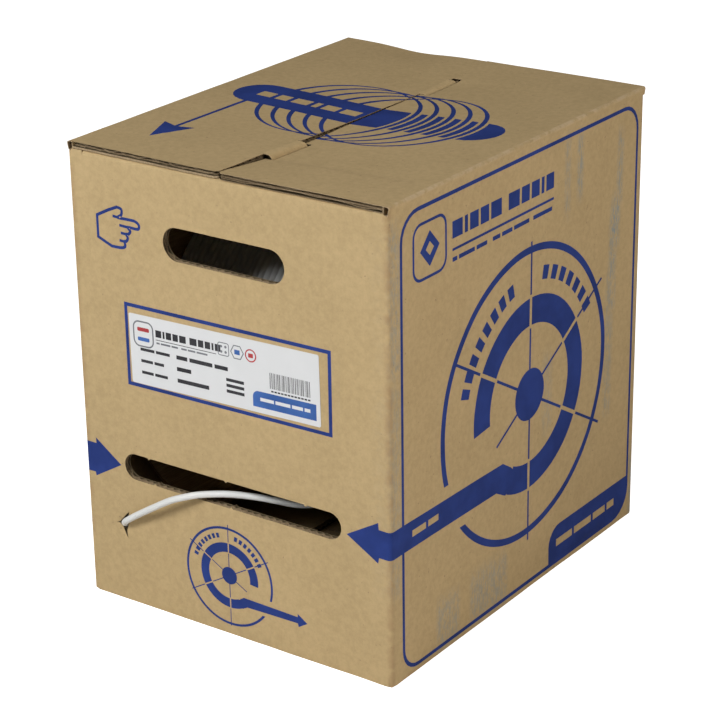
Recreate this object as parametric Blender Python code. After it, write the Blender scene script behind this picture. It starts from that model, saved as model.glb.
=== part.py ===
"""Cable spool box: a corrugated carton that carries a full reel of data cable on an axle.

Metres, +Z up. The box stands on z = 0, centred in x and y. Its pay-out face looks along -Y.
"""
import math

import bmesh
import bpy
from mathutils import Vector

MM = 0.001

# Carton
WIDTH = 278 * MM            # outside, along x
DEPTH = 346 * MM            # outside, along y
HEIGHT = 360 * MM           # outside, along z
BOARD = 6 * MM              # double-wall corrugated board
GAP = 0.3 * MM              # clearance between touching pieces

HALF_W, HALF_D = WIDTH / 2, DEPTH / 2
IN_W, IN_D = HALF_W - BOARD, HALF_D - BOARD
WALL_TOP = HEIGHT - BOARD - GAP
FLOOR = 2 * BOARD + 2 * GAP

# Openings in the walls: centre x, centre z, length, height
HAND_HOLE = (-1.2 * MM, 299.1 * MM, 107.2 * MM, 25.4 * MM)
PAYOUT_SLOT = (-2.6 * MM, 114.7 * MM, 198.3 * MM, 21.0 * MM)
STUB_X, STUB_Z, STUB_ARM = -102 * MM, 64 * MM, 12 * MM

# Top flaps
SEAM = 0.6 * MM             # each long flap stops this far from the middle
SHORT_FLAP = 46.4 * MM      # reach of a short flap from the inside of its wall
SHORT_HALF = 126.1 * MM     # half width of a short flap
TAB_NEAR, TAB_FAR = 77.5 * MM, 119.5 * MM
TAB_DROP = 28 * MM
TAB_OUT = 5.7 * MM          # outer face of a tucked tab, from the middle of the box
NOTCH = 11.0 * MM           # depth of the recess that lets a tab pass the other flap

# Reel
AXIS_Z = 172 * MM
FLANGE_R, FLANGE_T = 150 * MM, 6 * MM
FLANGE_IN = 112.5 * MM      # inside face of each flange, from the middle
BARREL_R, BARREL_WALL = 55 * MM, 4 * MM
WOUND_R = 120 * MM
AXLE_R, AXLE_BORE = 15 * MM, 11.5 * MM
BUSH_R, BUSH_COLLAR_R, BUSH_COLLAR_T = 17.6 * MM, 24 * MM, 2.5 * MM
BOLT_R, BOLT_RING, BOLT_HEAD, BOLT_COUNT = 3 * MM, 40 * MM, 4 * MM, 3
NUT_T, HEX_R = 5 * MM, 5.8 * MM

# Inserts, lap, label, cable
LAP_REACH = 35 * MM
LABEL_W, LABEL_H, LABEL_T = 170 * MM, 54 * MM, 0.25 * MM
LABEL_X, LABEL_Z, LABEL_TURN = -4.6 * MM, 213.5 * MM, math.radians(1.4)
CABLE_R = 2.55 * MM

KRAFT = (0.50, 0.36, 0.20)


def clear_scene():
    for obj in list(bpy.data.objects):
        bpy.data.objects.remove(obj, do_unlink=True)


def material(name, rgb, roughness, metallic=0.0):
    mat = bpy.data.materials.new(name)
    mat.use_nodes = True
    shader = mat.node_tree.nodes["Principled BSDF"]
    shader.inputs["Base Color"].default_value = (*rgb, 1.0)
    shader.inputs["Roughness"].default_value = roughness
    shader.inputs["Metallic"].default_value = metallic
    return mat


def add(name, bm, rgb=KRAFT, roughness=0.85, metallic=0.0, origin=(0, 0, 0)):
    """Turns a bmesh in world coordinates into an object whose origin is at the given point."""
    bmesh.ops.translate(bm, verts=bm.verts, vec=-Vector(origin))
    bmesh.ops.recalc_face_normals(bm, faces=bm.faces)
    mesh = bpy.data.meshes.new(name)
    bm.to_mesh(mesh)
    bm.free()
    obj = bpy.data.objects.new(name, mesh)
    obj.location = origin
    bpy.context.scene.collection.objects.link(obj)
    mesh.materials.append(material(name, rgb, roughness, metallic))
    return obj


def prism(outline, low, high, axis):
    """Closed prism: a 2-D outline swept from low to high along axis 'X', 'Y' or 'Z'."""
    place = {
        "X": lambda a, b, c: (c, a, b),
        "Y": lambda a, b, c: (a, c, b),
        "Z": lambda a, b, c: (a, b, c),
    }[axis]
    bm = bmesh.new()
    ends = [[bm.verts.new(place(a, b, c)) for a, b in outline] for c in (low, high)]
    bm.faces.new(ends[0])
    bm.faces.new(list(reversed(ends[1])))
    count = len(outline)
    for i in range(count):
        j = (i + 1) % count
        bm.faces.new((ends[0][i], ends[1][i], ends[1][j], ends[0][j]))
    return bm


def block(low, high):
    outline = [(low[0], low[1]), (high[0], low[1]), (high[0], high[1]), (low[0], high[1])]
    return prism(outline, low[2], high[2], "Z")


def stadium(cx, cz, length, height, steps=14):
    """Outline of a slot with round ends."""
    r = height / 2
    points = []
    for side in (1, -1):
        middle = cx + side * (length / 2 - r)
        for i in range(steps + 1):
            turn = -math.pi / 2 * side + math.pi * i / steps
            points.append((middle + r * math.cos(turn), cz + r * math.sin(turn)))
    return points


def circle(radius, centre=(0.0, 0.0), count=64):
    steps = [2 * math.pi * (i + 0.5) / count for i in range(count)]
    return [(centre[0] + radius * math.cos(t), centre[1] + radius * math.sin(t)) for t in steps]


def lathe(profile, count=64):
    """Ring turned about the reel's axis from a closed profile of (x, radius) points."""
    bm = bmesh.new()
    rings = []
    for i in range(count):
        t = 2 * math.pi * (i + 0.5) / count
        rings.append([bm.verts.new((x, r * math.cos(t), AXIS_Z + r * math.sin(t)))
                      for x, r in profile])
    size = len(profile)
    for i in range(count):
        here, following = rings[i], rings[(i + 1) % count]
        for k in range(size):
            m = (k + 1) % size
            bm.faces.new((here[k], here[m], following[m], following[k]))
    return bm


def cut(obj, cutters):
    """Takes each cutter's solid out of the object."""
    for i, bm in enumerate(cutters):
        tool = add(f"{obj.name}_cutter_{i}", bm)
        tool.hide_render = True
        tool.display_type = "WIRE"
        boolean = obj.modifiers.new(f"cut_{i}", "BOOLEAN")
        boolean.operation = "DIFFERENCE"
        boolean.solver = "EXACT"
        boolean.object = tool


def smooth_path(points, step):
    """Catmull-Rom curve through the points, sampled at about the given step."""
    points = [Vector(p) * MM for p in points]
    padded = [2 * points[0] - points[1], *points, 2 * points[-1] - points[-2]]
    dense = []
    for i in range(len(points) - 1):
        a, b, c, d = padded[i:i + 4]
        for k in range(24):
            t = k / 24
            dense.append(0.5 * (2 * b + (c - a) * t + (2 * a - 5 * b + 4 * c - d) * t ** 2
                                + (3 * b - a - 3 * c + d) * t ** 3))
    dense.append(points[-1])
    total = sum((q - p).length for p, q in zip(dense, dense[1:]))
    count = max(2, round(total / step))
    path, run, target = [dense[0]], 0.0, total / count
    for p, q in zip(dense, dense[1:]):
        length = (q - p).length
        while run + length >= target - 1e-9 and len(path) < count:
            path.append(p.lerp(q, (target - run) / length))
            target += total / count
        run += length
    path.append(dense[-1])
    return path


def tube(name, path, radius, rgb=KRAFT, roughness=0.5):
    curve = bpy.data.curves.new(name, "CURVE")
    curve.dimensions = "3D"
    curve.bevel_depth = radius
    curve.bevel_resolution = 3
    curve.use_fill_caps = True
    spline = curve.splines.new("POLY")
    spline.points.add(len(path) - 1)
    for point, position in zip(spline.points, path):
        point.co = (*position, 1.0)
    obj = bpy.data.objects.new(name, curve)
    bpy.context.scene.collection.objects.link(obj)
    curve.materials.append(material(name, rgb, roughness))
    return obj


def build_walls():
    """Four walls of one folded sheet, with hand holes, the pay-out slot and a cable stub hole."""
    outer = block((-HALF_W, -HALF_D, 0), (HALF_W, HALF_D, WALL_TOP))
    walls = add("carton_walls", outer)
    over = 20 * MM
    arm, half = STUB_ARM, 0.7 * MM
    pushed_in = [(0.7, 12), (-5.5, 7.5), (-12, -1), (-8.5, -8.5), (0.7, -12), (3, -4), (3, 6)]
    cross = [(STUB_X + a * MM, STUB_Z + b * MM) for a, b in pushed_in]
    side_slit = [(STUB_X - arm - MM, STUB_Z - half / 2), (STUB_X, STUB_Z - half / 2),
                 (STUB_X, STUB_Z + half / 2), (STUB_X - arm - MM, STUB_Z + half / 2)]
    cut(walls, [
        block((-IN_W, -IN_D, -over), (IN_W, IN_D, HEIGHT + over)),
        prism(stadium(*HAND_HOLE), -HALF_D - over, -IN_D + over, "Y"),
        prism(stadium(*HAND_HOLE), IN_D - over, HALF_D + over, "Y"),
        prism(stadium(*PAYOUT_SLOT, steps=16), -HALF_D - over, -IN_D + over, "Y"),
        prism(cross, -HALF_D - over, -IN_D + over, "Y"),
        prism(side_slit, -HALF_D - over, -IN_D + over, "Y"),
    ])
    return walls


def build_top_flaps():
    """Long flaps meet at the middle; short flaps lie under them; two tabs tuck in at the seam."""
    low = HEIGHT - BOARD
    outline = [(-HALF_W, -HALF_D), (-SEAM, -HALF_D), (-SEAM, HALF_D), (-HALF_W, HALF_D)]
    add("top_flap_left", prism(outline, low, HEIGHT, "Z"), origin=(-HALF_W, 0, HEIGHT))
    edge = [(SEAM, -HALF_D)]
    for side in (-1, 1):
        ends = sorted((side * (TAB_NEAR - 1.5 * MM), side * (TAB_FAR + 1.5 * MM)))
        edge += [(SEAM, ends[0]), (NOTCH, ends[0]), (NOTCH, ends[1]), (SEAM, ends[1])]
    edge.append((SEAM, HALF_D))
    outline = [(HALF_W, HALF_D), (HALF_W, -HALF_D), *edge]
    add("top_flap_right", prism(outline, low, HEIGHT, "Z"), origin=(HALF_W, 0, HEIGHT))

    for name, side in (("front", -1), ("rear", 1)):
        root, tip = side * (IN_D - GAP), side * (IN_D - GAP - SHORT_FLAP)
        chamfer = 8 * MM
        outline = [(-SHORT_HALF, root), (-SHORT_HALF + chamfer, tip),
                   (SHORT_HALF - chamfer, tip), (SHORT_HALF, root)]
        add(f"top_flap_{name}", prism(outline, WALL_TOP - BOARD, WALL_TOP, "Z"),
            origin=(0, side * IN_D, WALL_TOP - BOARD))
        ends = sorted((side * TAB_NEAR, side * TAB_FAR))
        add(f"tuck_tab_{name}",
            block((TAB_OUT - BOARD, ends[0], HEIGHT - TAB_DROP), (TAB_OUT, ends[1], HEIGHT)),
            origin=(TAB_OUT, (ends[0] + ends[1]) / 2, HEIGHT))


def build_bottom_flaps():
    inside = IN_W - GAP
    for name, side in (("front", -1), ("rear", 1)):
        ends = sorted((side * GAP, side * (IN_D - GAP)))
        add(f"bottom_flap_{name}", block((-inside, ends[0], 0), (inside, ends[1], BOARD)))
    for name, side in (("left", -1), ("right", 1)):
        ends = sorted((side * 45 * MM, side * inside))
        add(f"bottom_flap_{name}",
            block((ends[0], -IN_D + GAP, BOARD + GAP), (ends[1], IN_D - GAP, 2 * BOARD + GAP)))


def build_inserts():
    """Glue lap in the rear left corner, and the two upright boards that carry the axle."""
    outer, inner = IN_W - GAP, IN_W - GAP - BOARD
    top = WALL_TOP - GAP
    add("glue_lap", block((-outer, IN_D - GAP - LAP_REACH, FLOOR), (-inner, IN_D - GAP, top)))
    for name, side, far in (("left", -1, IN_D - 2 * GAP - LAP_REACH), ("right", 1, IN_D - GAP)):
        ends = sorted((side * inner, side * outer))
        board = add(f"axle_board_{name}", block((ends[0], -IN_D + GAP, FLOOR), (ends[1], far, top)))
        cut(board, [prism(circle(AXLE_R + GAP, (0, AXIS_Z)), ends[0] - BOARD, ends[1] + BOARD, "X")])
    end = IN_W - 2 * GAP
    add("axle_tube", lathe([(-end, AXLE_BORE), (end, AXLE_BORE), (end, AXLE_R), (-end, AXLE_R)]),
        rgb=(0.42, 0.30, 0.18), origin=(0, 0, AXIS_Z))


def build_reel():
    """Plywood flanges bolted onto a paperboard barrel, with plastic bushes that turn on the axle."""
    origin = (0, 0, AXIS_Z)
    out = FLANGE_IN + FLANGE_T
    seats = [(BOLT_RING * math.cos(2 * math.pi * i / BOLT_COUNT + math.pi / 2),
              AXIS_Z + BOLT_RING * math.sin(2 * math.pi * i / BOLT_COUNT + math.pi / 2))
             for i in range(BOLT_COUNT)]
    wood = (0.62, 0.46, 0.28)
    for name, side in (("left", -1), ("right", 1)):
        ends = sorted((side * FLANGE_IN, side * out))
        flange = add(f"flange_{name}",
                     prism(circle(FLANGE_R, (0, AXIS_Z), 96), ends[0], ends[1], "X"),
                     rgb=wood, roughness=0.7, origin=origin)
        cut(flange, [prism(circle(BUSH_R + GAP, (0, AXIS_Z)), ends[0] - BOARD, ends[1] + BOARD, "X")]
            + [prism(circle(BOLT_R + GAP, seat, 24), ends[0] - BOARD, ends[1] + BOARD, "X")
               for seat in seats])
        bore = AXLE_R + GAP
        collar = out + GAP
        profile = [(FLANGE_IN - 4 * MM, bore), (collar + BUSH_COLLAR_T, bore),
                   (collar + BUSH_COLLAR_T, BUSH_COLLAR_R), (collar, BUSH_COLLAR_R),
                   (collar, BUSH_R), (FLANGE_IN - 4 * MM, BUSH_R)]
        add(f"hub_bush_{name}", lathe([(side * x, r) for x, r in profile]),
            rgb=(0.05, 0.05, 0.055), roughness=0.4, origin=origin)

    end = FLANGE_IN - GAP
    inner = BARREL_R - BARREL_WALL
    add("reel_barrel", lathe([(-end, inner), (end, inner), (end, BARREL_R), (-end, BARREL_R)]),
        rgb=(0.45, 0.33, 0.20), origin=origin)
    low = BARREL_R + GAP
    shoulder = 1.5 * MM
    add("cable_winding",
        lathe([(-end, low), (end, low), (end, WOUND_R - shoulder), (end - shoulder, WOUND_R),
               (shoulder - end, WOUND_R), (-end, WOUND_R - shoulder)], 96),
        rgb=(0.62, 0.64, 0.65), roughness=0.4, origin=origin)

    steel = dict(rgb=(0.62, 0.62, 0.60), roughness=0.35, metallic=1.0)
    seat_x = out + GAP
    for i, (y, z) in enumerate(seats):
        shank = circle(BOLT_R, (y, z), 24)
        head = circle(HEX_R, (y, z), 6)
        bm = prism(shank, -seat_x - BOLT_HEAD / 2, seat_x + NUT_T + 1.5 * MM, "X")
        bolt = add(f"tie_bolt_{i + 1}", bm, origin=origin, **steel)
        cap = add(f"tie_bolt_{i + 1}_head", prism(head, -seat_x - BOLT_HEAD, -seat_x, "X"))
        cap.hide_render = True
        cap.display_type = "WIRE"
        union = bolt.modifiers.new("head", "BOOLEAN")
        union.operation = "UNION"
        union.solver = "EXACT"
        union.object = cap
        nut = add(f"tie_nut_{i + 1}", prism(head, seat_x, seat_x + NUT_T, "X"), origin=origin, **steel)
        cut(nut, [prism(circle(BOLT_R + 0.15 * MM, (y, z), 24),
                        seat_x - BOARD, seat_x + NUT_T + BOARD, "X")])


def build_label():
    u, v = LABEL_W / 2, LABEL_H / 2
    c, s = math.cos(LABEL_TURN), math.sin(LABEL_TURN)
    outline = [(LABEL_X + a * c - b * s, LABEL_Z + a * s + b * c)
               for a, b in ((-u, -v), (u, -v), (u, v), (-u, v))]
    face = -HALF_D - 0.1 * MM
    add("label", prism(outline, face - LABEL_T, face, "Y"), rgb=(0.85, 0.86, 0.88), roughness=0.5)


def build_cable():
    """Loose end: off the reel's front, out through the slot and tucked into the stub hole."""
    ride = WOUND_R / MM + CABLE_R / MM + 0.9
    points = []
    for k in range(5):
        turn = math.radians(64 - 16 * k)
        points.append((91 - k, -ride * math.cos(turn), AXIS_Z / MM + ride * math.sin(turn)))
    points += [(85.5, -125.6, 150), (79, -131.5, 131), (68, -139.5, 118.5), (55, -146, 112.5),
               (42.4, -151, 110.6), (29.1, -155.5, 111.6), (15.9, -160, 112.6),
               (2.2, -164.4, 112.8), (-10.7, -169, 112.3), (-26.2, -175.2, 110.3),
               (-36.5, -179.2, 107.6), (-51.7, -181.5, 101.2), (-68.7, -181, 90.8),
               (-87.2, -178.6, 78.8), (-99.2, -176.3, 70.4), (-106.3, -171.6, 64.6),
               (-109.6, -165, 60.5), (-111, -156, 57)]
    tube("cable_run", smooth_path(points, 11 * MM), CABLE_R, rgb=(0.72, 0.74, 0.75))


clear_scene()
build_walls()
build_top_flaps()
build_bottom_flaps()
build_inserts()
build_reel()
build_label()
build_cable()
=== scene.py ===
import math

import bmesh
import bpy
import numpy as np
from mathutils import Matrix, Vector, noise
from mathutils.geometry import delaunay_2d_cdt


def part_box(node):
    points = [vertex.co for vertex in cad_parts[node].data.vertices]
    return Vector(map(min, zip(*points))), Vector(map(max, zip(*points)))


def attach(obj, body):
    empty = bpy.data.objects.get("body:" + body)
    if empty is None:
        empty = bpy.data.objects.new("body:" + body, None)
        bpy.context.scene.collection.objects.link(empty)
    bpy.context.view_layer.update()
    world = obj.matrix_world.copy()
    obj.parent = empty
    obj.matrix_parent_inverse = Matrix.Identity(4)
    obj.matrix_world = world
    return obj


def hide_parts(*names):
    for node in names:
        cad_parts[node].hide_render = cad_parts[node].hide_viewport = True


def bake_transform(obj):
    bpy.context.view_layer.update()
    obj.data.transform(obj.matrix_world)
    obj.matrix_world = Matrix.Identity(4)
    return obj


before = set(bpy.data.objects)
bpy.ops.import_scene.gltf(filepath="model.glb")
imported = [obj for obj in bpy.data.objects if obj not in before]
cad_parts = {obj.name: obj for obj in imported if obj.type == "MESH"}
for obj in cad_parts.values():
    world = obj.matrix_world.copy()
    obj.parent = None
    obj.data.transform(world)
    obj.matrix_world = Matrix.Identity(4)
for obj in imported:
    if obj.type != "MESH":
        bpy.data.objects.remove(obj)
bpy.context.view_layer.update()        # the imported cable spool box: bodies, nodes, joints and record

MM = 0.001

# ---- sizes, from the frame ----


def box_mm(node):
    low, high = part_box(node)
    return low / MM, high / MM


FLAP_LOW, FLAP_HIGH = box_mm("top_flap_left")
SHORT_LOW, SHORT_HIGH = box_mm("top_flap_front")
FLANGE_LOW, FLANGE_HIGH = box_mm("flange_left")
WINDING_LOW, WINDING_HIGH = box_mm("cable_winding")
LABEL_LOW, LABEL_HIGH = box_mm("label")
HALF_W, HALF_D, WALL_TOP = box_mm("carton_walls")[1]
HEIGHT = FLAP_HIGH.z
BOARD = FLAP_HIGH.z - FLAP_LOW.z
AXIS_Z = (FLANGE_LOW.z + FLANGE_HIGH.z) / 2
PERIMETER_HALF = HALF_W + HALF_D
REAR = 2 * PERIMETER_HALF                   # u of the rear wall's middle
CORNERS = (-HALF_W, HALF_W, HALF_W + 2 * HALF_D)
SHEET_LEFT = 0.2 - HALF_W - 2 * HALF_D      # the sheet's two ends meet at the rear left corner
SHEET_RIGHT = 3 * HALF_W + 2 * HALF_D - 6.3

CORNER = 3.5                # radius of the carton's upright corners
SHARP_CORNER = 1.3          # radius of the corner left of the front
BASE_ROUND = 0.7            # radius of the folds round the base
LINER = 0.45                # thickness of a liner's cut edge
RECESS = 4.5                # how far one sees in between the liners
CREASE_DEPTH = 6.3          # the short flaps' creases start this far below the walls' top
TOP_ROUND = 1.8             # radius of the creases of the long flaps
FLAP_THICK = 5.0            # the long flaps' board is pressed a little
FLAP_ROOT = 4.0             # a long flap's board starts this far from the wall's face
SHORT_ROOT = 12.0           # the same for a short flap
SHORT_TOP = HEIGHT - FLAP_THICK - 0.3
HAND_HOLE = (-1.2, 299.1, 107.2, 25.4)      # middle, length and height of the opening
PAYOUT_SLOT = (-2.6, 114.7, 198.3, 21.0)
CABLE_R = 2.55
BOLT_CIRCLE, BOLT_HOLE = 40.0, 3.3
BUSH_LIP = 6.0              # the bush's collar stands this far over the flange's bore
SEAM_LEFT = -3.2            # the seam lies a little left of the middle
TABS = ((-119.5, -77.5), (77.5, 119.5))
TAB_FOLD = 5.5              # radius of a tab's fold
TAB_FACE = 4.4              # x of a tucked tab's outer face
TAB_REACH = 4.0             # flat length on both sides of a tab's fold

SKIN, INNER, EDGE, BLUE, HOLLOW_PAINTED_SHADE, RED, GREY = range(7)
DARK = HOLLOW_PAINTED_SHADE               # the label has black ink at the index where the boards have the painted shade of their hollows

# ---- camera and cord ----

LENS, SENSOR = 119.2, 36.0
CAMERA_AT = (0.98207, -1.38898, 0.85559)
CAMERA_RIGHT = (0.81743, 0.57586, -0.01385)         # the picture's x axis
CAMERA_AZIMUTH, CAMERA_ELEVATION = math.radians(35.49), math.radians(22.17)


def make_camera():
    camera = bpy.data.objects.new("camera", bpy.data.cameras.new("camera"))
    bpy.context.scene.collection.objects.link(camera)
    camera.data.lens, camera.data.sensor_width = LENS, SENSOR
    level = math.cos(CAMERA_ELEVATION)
    back = Vector((math.sin(CAMERA_AZIMUTH) * level, -math.cos(CAMERA_AZIMUTH) * level,
                   math.sin(CAMERA_ELEVATION)))
    right = Vector(CAMERA_RIGHT).normalized()
    right = (right - right.dot(back) * back).normalized()
    up = back.cross(right)
    camera.matrix_world = Matrix((right, up, back)).transposed().to_4x4()
    camera.location = CAMERA_AT
    camera.data.clip_start, camera.data.clip_end = 0.05, 30
    bpy.context.scene.camera = camera


def catmull(points, per):
    """Smooth curve through the points, with per steps between each two."""
    p = [np.asarray(q, float) for q in points]
    p = [2 * p[0] - p[1], *p, 2 * p[-1] - p[-2]]
    curve = []
    for a, b, c, d in zip(p, p[1:], p[2:], p[3:]):
        for k in range(per):
            t = k / per
            curve.append(0.5 * (2 * b + (c - a) * t + (2 * a - 5 * b + 4 * c - d) * t * t
                                + (3 * b - a - 3 * c + d) * t ** 3))
    return [*curve, p[-2]]


def cable_route():
    """Off the reel's front, out through the slot and down into the stub hole, as in the CAD part."""
    ride = WINDING_HIGH.z - AXIS_Z + CABLE_R + 0.9
    points = []
    for k in range(5):
        turn = math.radians(64 - 16 * k)
        points.append((91 - k, -ride * math.cos(turn), AXIS_Z + ride * math.sin(turn)))
    points += [(85.5, -125.6, 150), (79, -131.5, 131), (68, -139.5, 118.5), (55, -146, 112.5),
               (42.4, -151, 110.6), (29.1, -155.5, 111.6), (15.9, -160, 112.6),
               (2.2, -164.4, 112.8), (-10.7, -169, 112.3), (-26.2, -175.2, 110.3),
               (-36.5, -179.2, 107.6), (-51.7, -181.5, 101.2), (-68.7, -181, 90.8),
               (-87.2, -178.6, 78.8), (-99.2, -176.3, 70.4), (-106.3, -171.6, 64.6),
               (-109.6, -165, 60.5), (-111, -156, 57)]
    return catmull(points, 5)


def make_cable(jacket):
    route = [Vector(p) * MM for p in cable_route()]
    curve = bpy.data.curves.new("cable_end", "CURVE")
    curve.dimensions, curve.bevel_depth, curve.bevel_resolution = "3D", CABLE_R * MM, 7
    curve.use_fill_caps = True
    spline = curve.splines.new("POLY")
    spline.points.add(len(route) - 1)
    for point, position in zip(spline.points, route):
        point.co = (*position, 1.0)
    spline.use_smooth = True
    cable = bpy.data.objects.new("cable_end", curve)
    bpy.context.scene.collection.objects.link(cable)
    curve.materials.append(jacket)
    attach(cable, "carton")
    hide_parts("cable_run")


# ---- meshes ----


class Body:
    """Collects points in millimetres and faces, each face with the number of its material."""

    def __init__(self):
        self.points, self.faces, self.kinds = [], [], []

    def add(self, points, faces, kind=0):
        start = len(self.points)
        self.points.extend(points)
        self.faces.extend([start + int(i) for i in face] for face in faces)
        self.kinds.extend(kind if isinstance(kind, list) else [kind] * len(faces))

    def rows(self, rows, kind=0, closed=False):
        """Quads between rows of points; closed joins each row's last point to its first."""
        size = len(rows[0])
        faces = [(r * size + i, r * size + (i + 1) % size,
                  (r + 1) * size + (i + 1) % size, (r + 1) * size + i)
                 for r in range(len(rows) - 1) for i in range(size if closed else size - 1)]
        self.add([p for row in rows for p in row], faces, kind)

    def make(self, name, materials, body=None, replaces=(), sharp=38):
        mesh = bpy.data.meshes.new(name)
        mesh.from_pydata([Vector(p) * MM for p in self.points], [], self.faces)
        mesh.polygons.foreach_set("material_index", self.kinds)
        work = bmesh.new()
        work.from_mesh(mesh)
        bmesh.ops.remove_doubles(work, verts=work.verts, dist=0.004 * MM)
        bmesh.ops.recalc_face_normals(work, faces=work.faces)
        work.to_mesh(mesh)
        work.free()
        mesh.shade_smooth()
        mesh.set_sharp_from_angle(angle=math.radians(sharp))
        for material in materials:
            mesh.materials.append(material)
        piece = bpy.data.objects.new(name, mesh)
        bpy.context.scene.collection.objects.link(piece)
        if body:
            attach(piece, body)
        if replaces:
            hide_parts(*replaces)
        return piece


def inside(loop, points):
    """Which of the points lie inside a closed outline."""
    a = np.asarray(loop, float)
    x, y = points[:, 0], points[:, 1]
    near = (x >= a[:, 0].min()) & (x <= a[:, 0].max()) & (y >= a[:, 1].min()) & (y <= a[:, 1].max())
    px, py = x[near], y[near]
    odd = np.zeros(len(px), bool)
    for (ax, ay), (bx, by) in zip(a, np.roll(a, -1, axis=0)):
        if ay != by:
            odd ^= ((ay > py) != (by > py)) & (px < (bx - ax) * (py - ay) / (by - ay) + ax)
    result = np.zeros(len(points), bool)
    result[near] = odd
    return result


def triangulate(loops, shapes, step, lines=(), extra=()):
    """Splits the sheet inside loops[0] and outside the other loops into triangles whose edges
    follow every printed outline. Returns its points, its triangles and the print on each."""
    points, edges = [], []

    def chain(path, closed):
        start, count = len(points), len(path)
        points.extend((float(a), float(b)) for a, b in path)
        edges.extend((start + i, start + (i + 1) % count) for i in range(count if closed else count - 1))

    for loop in loops:
        chain(loop, True)
    for _, outlines in shapes:
        for outline in outlines:
            chain(outline, True)
    for line in lines:
        chain(line, False)
    low, high = np.min(loops[0], axis=0), np.max(loops[0], axis=0)
    grid = [(a, b + (i % 2) * step / 2)
            for i, a in enumerate(np.arange(low[0] + step / 2, high[0], step))
            for b in np.arange(low[1] + step / 4, high[1], step)]
    grid = np.array(grid + list(extra), float).reshape(-1, 2)
    keep = inside(loops[0], grid)
    for hole in loops[1:]:
        keep &= ~inside(hole, grid)
    points.extend(map(tuple, grid[keep]))
    found, _, faces, *_ = delaunay_2d_cdt([Vector(p) for p in points], edges, [], 0, 1e-4)
    flat = np.array([(v.x, v.y) for v in found])
    centres = np.array([flat[list(face)].mean(axis=0) for face in faces])
    solid = inside(loops[0], centres)
    for hole in loops[1:]:
        solid &= ~inside(hole, centres)
    kinds = np.full(len(faces), SKIN)
    for kind, outlines in shapes:
        odd = np.zeros(len(centres), bool)
        for outline in outlines:
            odd ^= inside(outline, centres)
        kinds[odd] = kind
    return flat, [face for face, ok in zip(faces, solid) if ok], [int(k) for k in kinds[solid]]


def edge_normals(loop):
    """Mitred directions out of the material along a loop that has the material on its left."""
    p = np.asarray(loop, float)
    ahead = np.roll(p, -1, axis=0) - p
    ahead /= np.maximum(np.linalg.norm(ahead, axis=1), 1e-9)[:, None]
    out = np.stack([ahead[:, 1], -ahead[:, 0]], axis=1)
    before = np.roll(out, 1, axis=0)
    return (out + before) / np.maximum(1 + (out * before).sum(axis=1), 0.5)[:, None]


def resample(loop, step):
    """Closed loop with its corners kept and no stretch longer than step."""
    dense = []
    for a, b in zip(loop, [*loop[1:], loop[0]]):
        a, b = np.asarray(a, float), np.asarray(b, float)
        count = max(1, math.ceil(np.linalg.norm(b - a) / step))
        dense.extend(a + (b - a) * k / count for k in range(count))
    return dense


# Edge sections: depth from the outer skin, and how far the point stands out of the outline.
RAW = [(0, 0), (LINER, 0), (LINER, -RECESS), (BOARD - LINER, -RECESS), (BOARD - LINER, 0), (BOARD, 0)]
FLAT = [(d, 0) for d in (0, LINER, 2, 4, BOARD - LINER, BOARD)]
FOLD = [(BASE_ROUND * a, BASE_ROUND * b) for a, b in ((0, 0), (0.1, 0.5), (0.45, 0.88), (1, 1))]
FOLD += [(BOARD, BASE_ROUND), (BOARD, 0)]
# Fluting between the liners: depth of its middle, height of its waves, length of a wave
FLUTING = ((1.75, 1.15, 7.4), (3.2, 0.0, 1.0), (4.45, 0.95, 6.3))


def strip_kinds(section):
    """Materials of the strips of an edge: very dark kraft as painted shade in the hollow between the liners,
    skin where it is folded.
    """
    if section is FOLD:
        return [SKIN, SKIN, SKIN, EDGE, EDGE]
    if len(section) < 6 or min(push for _, push in section) > -1:
        return [EDGE] * (len(section) - 1)
    # the recess between the liners gets very dark kraft: painted shade
    return [EDGE, HOLLOW_PAINTED_SHADE, HOLLOW_PAINTED_SHADE, HOLLOW_PAINTED_SHADE, EDGE]


def rim(body, loop, place, edge, kinds):
    """Strips down the edge along a loop; edge gives the section at each point."""
    columns = [[place(a + push * n[0], b + push * n[1], depth) for depth, push in edge(a, b)]
               for (a, b), n in zip(loop, edge_normals(loop))]
    body.rows([*columns, columns[0]], kinds)


def board(body, loops, place, shapes=(), step=8.0, lines=(), extra=(), edge=lambda a, b: RAW,
          thickness=BOARD):
    """A sheet of board: printed outer skin, plain inner skin, and its cut or folded edges."""
    flat, faces, kinds = triangulate(loops, shapes, step, lines, extra)
    body.add([place(a, b, 0) for a, b in flat], faces, kinds)
    body.add([place(a, b, thickness) for a, b in flat], [face[::-1] for face in faces], INNER)
    for loop in loops:
        kinds = [kind for a, b in [*loop[1:], loop[0]] for kind in strip_kinds(edge(a, b))]
        rim(body, loop, place, edge, kinds)


def fluting(body, loop, place, across, near=0.45, wander=0.5, only=lambda a, b: True, step=0.9):
    """The two wavy papers and the middle liner that show along a raw edge. across is the
    coordinate that runs over the waves; where the edge runs along them, they wander."""
    dense = resample(loop, step)
    normals = edge_normals(dense)
    thin = 0.12
    for depth, height, length in FLUTING:
        run = []
        for (a, b), n in [*zip(dense, normals), (dense[0], normals[0])]:
            if not only(a, b):
                if len(run) > 1:
                    body.rows(run, EDGE, closed=True)
                run = []
                continue
            phase = across(a, b) + wander * 3 * noise.noise((a * 0.06, b * 0.06, depth))
            d = depth + height * math.sin(2 * math.pi * phase / length)
            lift = near + 0.5 * wander * (noise.noise((a * 0.35, b * 0.35, depth * 3)) + 0.5)
            run.append([place(a - n[0] * far, b - n[1] * far, d + side)
                        for far, side in ((lift, -thin), (RECESS, -thin), (RECESS, thin), (lift, thin))])
        if len(run) > 1:
            body.rows(run, EDGE, closed=True)


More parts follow.
